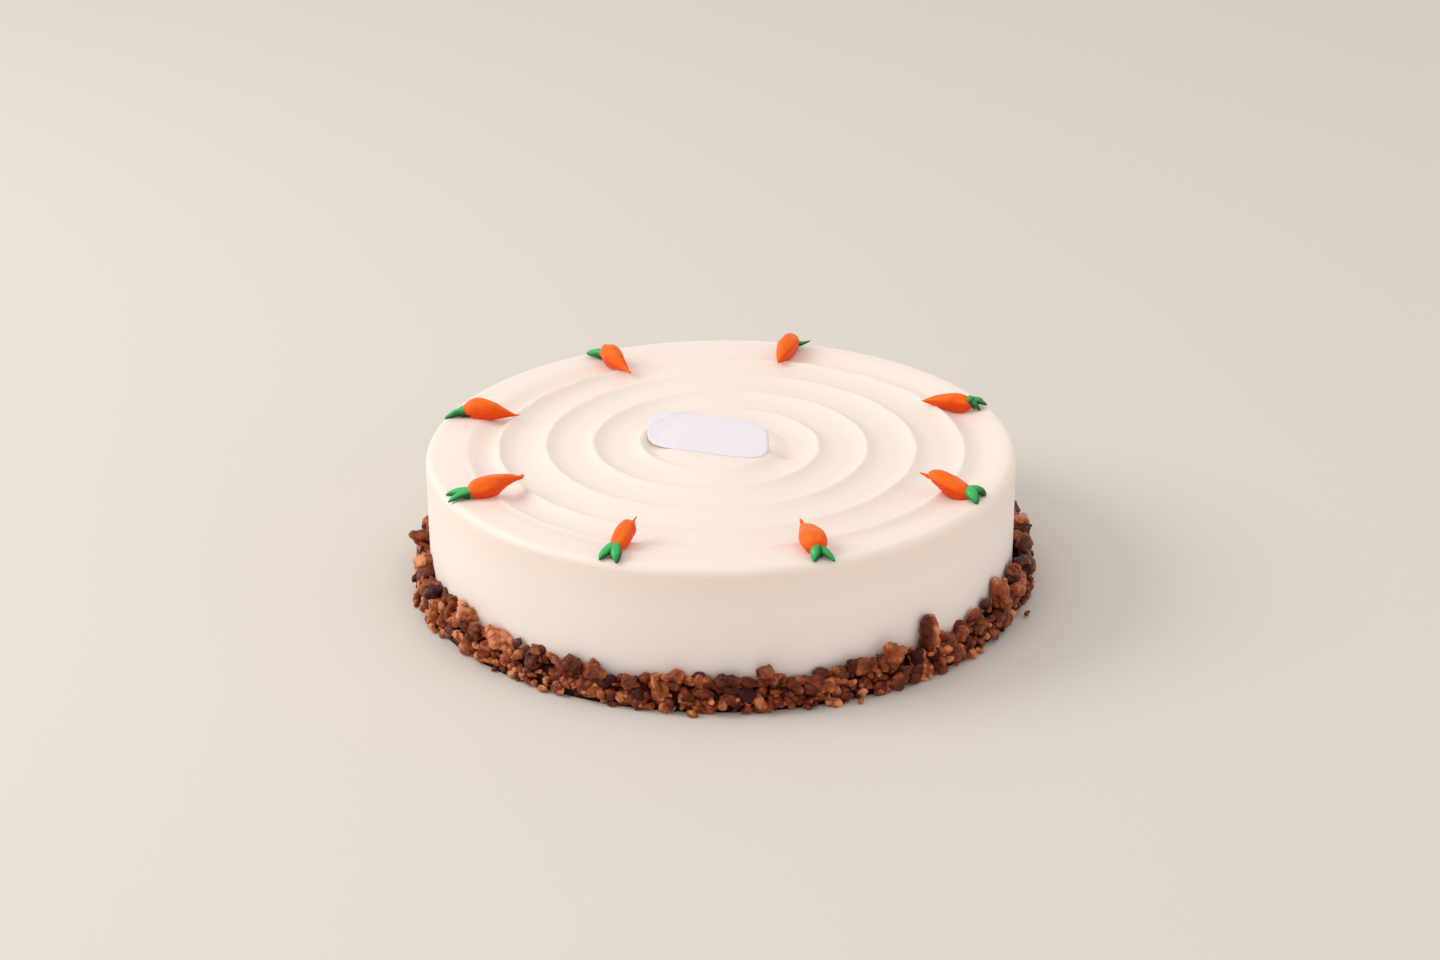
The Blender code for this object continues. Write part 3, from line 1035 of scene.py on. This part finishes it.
@dataclass
class PipedCarrot:
    """A carrot piped in buttercream: a drawn-out orange root and two or three green strokes."""

    number: int
    tip_angle: float
    tip_radius: float
    heading: float
    length: float
    width: float
    tip_lift: float
    strokes: tuple[Stroke, ...]
    fall: float = 1.0
    body_end: float = 1.0
    end_width: float = 0.0008
    bend: float = 0.0
    thread_lift: float = 0.0
    crown_rise: float = 0.0
    squash: float = 0.86
    shoulder: float = 0.42
    crown: Stroke = Stroke(0, 0.0026, 0.0022, 3.0)
    rings: int = 64
    sides: int = 40
    green_rings: int = 26
    green_sides: int = 20

    @property
    def forward(self) -> Vector:
        """The way from the greens to the tip."""
        return polar(1.0, math.radians(self.heading), 0.0)

    def tip(self, cake: FrostedCake) -> Vector:
        """Where the tip lies, at the height of the crests."""
        return polar(self.tip_radius, math.radians(self.tip_angle), cake.height)

    def swell(self, share: float) -> float:
        """Width of the root's body along its length, from its blunt shoulder to its end, at most 1."""
        rise = self.shoulder
        share = min(max(share, 0.0006), 0.9999)
        fullest = rise / (rise + self.fall)
        peak = fullest**rise * (1 - fullest) ** self.fall
        return share**rise * (1 - share) ** self.fall / peak

    def thickness(self, share: float) -> float:
        """Radius of the root along its length: its body, then the thread that breaks off at the tip."""
        body = self.width / 2 * self.swell(share / self.body_end) if share < self.body_end else 0.0
        thinning = 1 - 0.65 * ease(self.body_end * 0.95, 1.0, share)
        thread = self.end_width / 2 * thinning * ease(0.3, 0.7, share)
        closing = math.sqrt(max(1 - ((share - 0.97) / 0.03) ** 2, 0.0)) if share > 0.97 else 1.0
        return max(body, thread * closing, 0.00005)

    def piped(
        self, cake: FrostedCake, centres: list[Vector], radii: list[float], sides: int, loose_from: float
    ) -> Mesh:
        """A stroke of buttercream along the centres, with its underside pressed onto the frosting.

        Args:
            cake: The cake that it lies on.
            centres: Its middle line.
            radii: Its radius at each centre.
            sides: How many points go round it.
            loose_from: The share of its length from which it stands free of the frosting.

        Returns:
            The closed mesh.
        """
        points = []
        last = len(centres) - 1
        for index, (centre, radius) in enumerate(zip(centres, radii)):
            along = (centres[min(index + 1, last)] - centres[max(index - 1, 0)]).normalized()
            sideways = along.cross(Vector((0, 0, 1))).normalized()
            upwards = sideways.cross(along)
            share = index / last
            hold = 1 - ease(loose_from, loose_from + 0.2, share)
            for side in range(sides):
                turn = math.tau * side / sides
                offset = sideways * math.cos(turn) + upwards * math.sin(turn) * self.squash
                lump = 0.10 * noise.noise(centre * 230 + offset * 1.3 + Vector((self.number * 5, 0, 0)))
                ridge = 0.035 * math.sin(5 * turn + 3 * share + self.number)
                point = centre + offset * radius * (1 + lump + ridge)
                ground = max(cake.rest_height(point) - 0.0003, centre.z - 1.3 * radius)
                press = ease(0.55, 1.0, -math.sin(turn)) * hold
                point.z = max(point.z * (1 - press) + ground * press, ground)
                points.append(point)
        return mesh_of("piped", points, tube_faces(len(centres), sides))

    def root(self, cake: FrostedCake) -> Piece:
        """The orange root, which ends in a fine flick."""
        tip, forward = self.tip(cake), self.forward
        sideways = Vector((-forward.y, forward.x, 0))
        centres, radii = [], []
        for ring in range(self.rings + 1):
            share = (1 - math.cos(math.pi * ring / self.rings)) / 2
            radius = self.thickness(share)
            centre = tip - forward * self.length * (1 - share)
            centre += sideways * self.bend * math.sin(math.pi * share)
            flick = self.tip_lift * ease(0.22, 1.0, share)
            flick += self.thread_lift * ease(self.body_end * 0.9, 1.0, share)
            centre.z = cake.height + max(radius * self.squash * 0.88, 0.0004) + flick
            centres.append(centre)
            radii.append(radius)
        loose_from = 0.42 if self.tip_lift > 0.001 else 1.0
        mesh = self.piped(cake, centres, radii, self.sides, loose_from)
        name = f"carrot_{self.number}_root"
        store_facing(mesh)
        piece = place_object(f"{name}_piped", mesh)
        mesh.materials.append(ORANGE_CREAM.material())
        return finish_piece(piece, Slot.ORANGE, name)

    def greens(self, cake: FrostedCake) -> Piece:
        """The green strokes and the crown that they start from, joined into one piece."""
        start = self.tip(cake) - self.forward * (self.length - 0.0012)
        builder = bmesh.new()
        for stroke in (*self.strokes, self.crown):
            away = polar(1.0, math.radians(self.heading + 180 + stroke.turn), 0.0)
            centres, radii = [], []
            for ring in range(self.green_rings + 1):
                share = (1 - math.cos(math.pi * ring / self.green_rings)) / 2
                opening = min(1.0, math.sqrt(max(share, 0.0001) / 0.16))
                radius = stroke.radius * opening * (1 - min(share, 0.9995) ** stroke.blunt) ** 0.62
                centre = start + away * stroke.length * share
                rise = (0.0016 + self.crown_rise) * (1 - share) + 0.0005 * math.sin(math.pi * share)
                rise += stroke.lift * share**2
                centre.z = cake.rest_height(centre) + max(radius * 0.72, 0.0002) + rise
                centres.append(centre)
                radii.append(max(radius, 0.00005))
            builder.from_mesh(self.piped(cake, centres, radii, self.green_sides, 0.3))
        name = f"carrot_{self.number}_greens"
        mesh = bpy.data.meshes.new(name)
        builder.to_mesh(mesh)
        builder.free()
        mesh.shade_smooth()
        store_facing(mesh)
        mesh.materials.append(GREEN_CREAM.material())
        piece = place_object(f"{name}_piped", mesh)
        return finish_piece(piece, Slot.GREEN, name)

    def build(self, cake: FrostedCake) -> None:
        """Pipes the root and the greens onto the cake."""
        self.root(cake)
        self.greens(cake)


def carrots() -> list[PipedCarrot]:
    """The eight carrots, in order from the left front round the cake."""
    return [
        PipedCarrot(
            1, -150.9, 0.0888, 26, 0.0230, 0.0092, 0.0040,
            (Stroke(-44, 0.0114, 0.0019), Stroke(-5, 0.0100, 0.0019)),
            fall=1.15, body_end=1.04, end_width=0.0020, bend=0.0004, thread_lift=0.0004,
        ),
        PipedCarrot(
            2, -110.5, 0.0915, 68, 0.0215, 0.0076, 0.0042,
            (Stroke(-25, 0.0082, 0.0022, 3.0), Stroke(26, 0.0086, 0.0023, 3.2)),
            fall=0.24, body_end=0.76, end_width=0.0017, bend=0.0006, thread_lift=0.0018,
        ),
        PipedCarrot(
            3, -71, 0.0915, 106, 0.0228, 0.0100, 0.0038,
            (Stroke(-28, 0.0064, 0.0024, 3.4), Stroke(30, 0.0088, 0.0021, 1.7)),
            fall=1.15, body_end=0.96, end_width=0.0015, thread_lift=0.0012,
        ),
        PipedCarrot(
            4, -30, 0.0900, 148, 0.0230, 0.0078, 0.0042,
            (Stroke(46, 0.0070, 0.0024, 3.4), Stroke(-36, 0.0070, 0.0024, 3.0)),
            fall=0.28, body_end=0.80, end_width=0.0021, bend=-0.0010, thread_lift=0.0010,
        ),
        PipedCarrot(
            5, 25.7, 0.0938, 164, 0.0215, 0.0073, 0.0010,
            (
                Stroke(48, 0.0076, 0.0016, 2.2, 0.0022), Stroke(20, 0.0080, 0.0017, 2.2, 0.0012),
                Stroke(-14, 0.0054, 0.0016),
            ),
            fall=1.05, end_width=0.0005, crown_rise=0.0014,
        ),
        PipedCarrot(
            6, 73.7, 0.0905, 251, 0.0225, 0.0086, 0.0006,
            (Stroke(-96, 0.0086, 0.0012, 1.4, 0.0052), Stroke(-12, 0.0058, 0.0018)), fall=0.85, squash=1.05,
        ),
        PipedCarrot(
            7, 116.8, 0.0850, 303, 0.0225, 0.0080, 0.0006,
            (Stroke(26, 0.0102, 0.0018, 3.0, 0.0014), Stroke(-4, 0.0060, 0.0017)),
            fall=1.35, end_width=0.0010, squash=1.15,
        ),
        PipedCarrot(
            8, 160.5, 0.0885, 357, 0.0228, 0.0088, 0.0006,
            (Stroke(12, 0.0104, 0.0020, 1.7), Stroke(-6, 0.0050, 0.0022, 3.0, 0.0014)),
            fall=1.45, end_width=0.0006, squash=1.0,
        ),
    ]


# ---- The plaque ----


@dataclass
class Plaque:
    """The thin blank sugar sheet near the middle, a rounded oblong that lies in the combed frosting."""

    cake: FrostedCake
    centre: Vector
    length: float = 0.0525
    width: float = 0.0385
    slant: float = 0.35
    turn: float = math.radians(-19.5)
    squareness: float = 4.0
    thickness: float = 0.0005
    reach: float = 0.0060
    give: float = 0.0003
    outline_points: int = 144
    loops: int = 26

    @classmethod
    def from_frame(cls, cake: FrostedCake, node: str) -> Plaque:
        """The plaque in the middle of its CAD node."""
        low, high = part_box(node)
        return cls(cake, (low + high) / 2)

    def place(self, angle: float, share: float) -> Vector:
        """The point of the sheet's plan at that angle round it and share of the way out from its middle."""
        power = 2 / self.squareness
        along = math.copysign(abs(math.cos(angle)) ** power, math.cos(angle)) * self.length / 2 * share
        across = math.copysign(abs(math.sin(angle)) ** power, math.sin(angle)) * self.width / 2 * share
        slanted = Vector((along - self.slant * across, across, 0))
        return self.centre + Matrix.Rotation(self.turn, 3, "Z") @ slanted

    def lie(self, point: Vector) -> float:
        """Height at which the stiff sheet lies there: on the crests around, with a soft dip between them."""
        steps = [(x * self.reach / 3, y * self.reach / 3) for x in range(-3, 4) for y in range(-3, 4)]
        heights = [self.cake.height_at(point.x + x, point.y + y) for x, y in steps]
        crest = max(heights)
        share = sum(math.exp((height - crest) / self.give) for height in heights) / len(heights)
        return max(crest + self.give * math.log(share), self.cake.height_at(point.x, point.y))

    def build(self) -> Piece:
        """Builds the draped sheet: its top from the middle out, a rounded edge, and its underside."""
        top = [(loop / self.loops, self.thickness) for loop in range(1, self.loops)]
        edge = [(0.995, self.thickness), (1.0, self.thickness * 0.8), (1.0, 0.0), (0.99, -0.0001)]
        points = []
        for share, height in [*top, *edge]:
            for index in range(self.outline_points):
                point = self.place(math.tau * index / self.outline_points, share)
                point.z = self.lie(point) + height
                points.append(point)
        faces = tube_faces(len(top) + len(edge), self.outline_points)
        piece = place_object("plaque_sheet", mesh_of("plaque_sheet", points, faces))
        piece.data.materials.append(SUGAR_SHEET.material())
        return finish_piece(piece, Slot.SUGAR, "blank_plaque")


# ---- The studio ----


@dataclass(frozen=True)
class Studio:
    """A pale floor, a soft key light from the left, an even white surround and the camera."""

    floor_half: float = 6.0
    surround: float = 0.81
    lamp_size: float = 1.1
    lamp_distance: float = 1.9
    key_power: float = 15.6
    key_elevation: float = math.radians(38)
    fill_power: float = 2.6
    fill_azimuth: float = math.radians(-25)
    fill_elevation: float = math.radians(14)
    view_elevation: float = math.radians(23.76)
    view_distance: float = 1.149
    view_roll: float = math.radians(-0.52)
    aim_height: float = 0.0405
    aim_aside: float = -0.0004
    lens: float = 70.0

    def floor(self) -> None:
        """The pale floor that the cake stands on."""
        half = self.floor_half
        corners = [(-half, -half, 0), (half, -half, 0), (half, half, 0), (-half, half, 0)]
        ground = place_object("studio_floor", mesh_of("studio_floor", corners, [(0, 1, 2, 3)]))
        ground.data.materials.append(PALE_FLOOR.material())

    def lights(self) -> None:
        """The white surround, the soft key light and the weak fill light."""
        world = bpy.data.worlds.new("soft_surround")
        world.use_nodes = True
        sheet = NodeSheet(world.node_tree)
        white = sheet.signal("ShaderNodeBackground", Color=(1, 1, 1, 1), Strength=self.surround)
        sheet.node("ShaderNodeOutputWorld", Surface=white)
        bpy.context.scene.world = world
        self.lamp("key_light", self.key_power, math.pi, self.key_elevation)
        self.lamp("fill_light", self.fill_power, self.fill_azimuth, self.fill_elevation)

    def lamp(self, name: str, power: float, azimuth: float, elevation: float) -> None:
        """Hangs a round soft lamp that shines on the middle of the floor.

        Args:
            name: The lamp's name.
            power: Its power in watts.
            azimuth: The way to it from the middle, from +X towards +Y.
            elevation: Its angle above the floor.
        """
        lamp = bpy.data.lights.new(name, "AREA")
        lamp.shape = "DISK"
        lamp.size = self.lamp_size
        lamp.energy = power
        holder = bpy.data.objects.new(name, lamp)
        place = polar(math.cos(elevation), azimuth, math.sin(elevation))
        holder.location = place * self.lamp_distance
        holder.rotation_euler = (-place).to_track_quat("-Z", "Y").to_euler()
        bpy.context.scene.collection.objects.link(holder)

    def camera(self) -> None:
        """The camera at the viewing angle, a little above the cake and in front of it."""
        lens = bpy.data.cameras.new("view")
        lens.lens = self.lens
        lens.sensor_width = 36.0
        eye = bpy.data.objects.new("view", lens)
        ahead = Vector((0, math.cos(self.view_elevation), -math.sin(self.view_elevation)))
        turn = ahead.to_track_quat("-Z", "Y").to_matrix() @ Matrix.Rotation(self.view_roll, 3, "Z")
        place = Vector((self.aim_aside, 0, self.aim_height)) - ahead * self.view_distance
        eye.matrix_world = Matrix.Translation(place) @ turn.to_4x4()
        bpy.context.scene.collection.objects.link(eye)
        bpy.context.scene.camera = eye

    def build(self) -> None:
        """Sets up the floor, the lights, the camera and the plain view transform."""
        self.floor()
        self.lights()
        self.camera()
        bpy.context.scene.view_settings.view_transform = "Standard"


# ---- Putting it together ----


def main() -> None:
    """Builds the looks of the cake in order, and the studio round it."""
    logging.basicConfig(level=logging.INFO, format="%(name)s: %(message)s")
    for old in list(bpy.data.objects):
        bpy.data.objects.remove(old)
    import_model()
    Studio().build()
    cake = FrostedCake.from_frame("frosted_cake")
    cake.build()
    NutBand.from_frame(cake, "nut_crumb_band").build()
    for carrot in carrots():
        carrot.build(cake)
    Plaque.from_frame(cake, "blank_plaque").build()


if __name__ == "__main__":
    main()
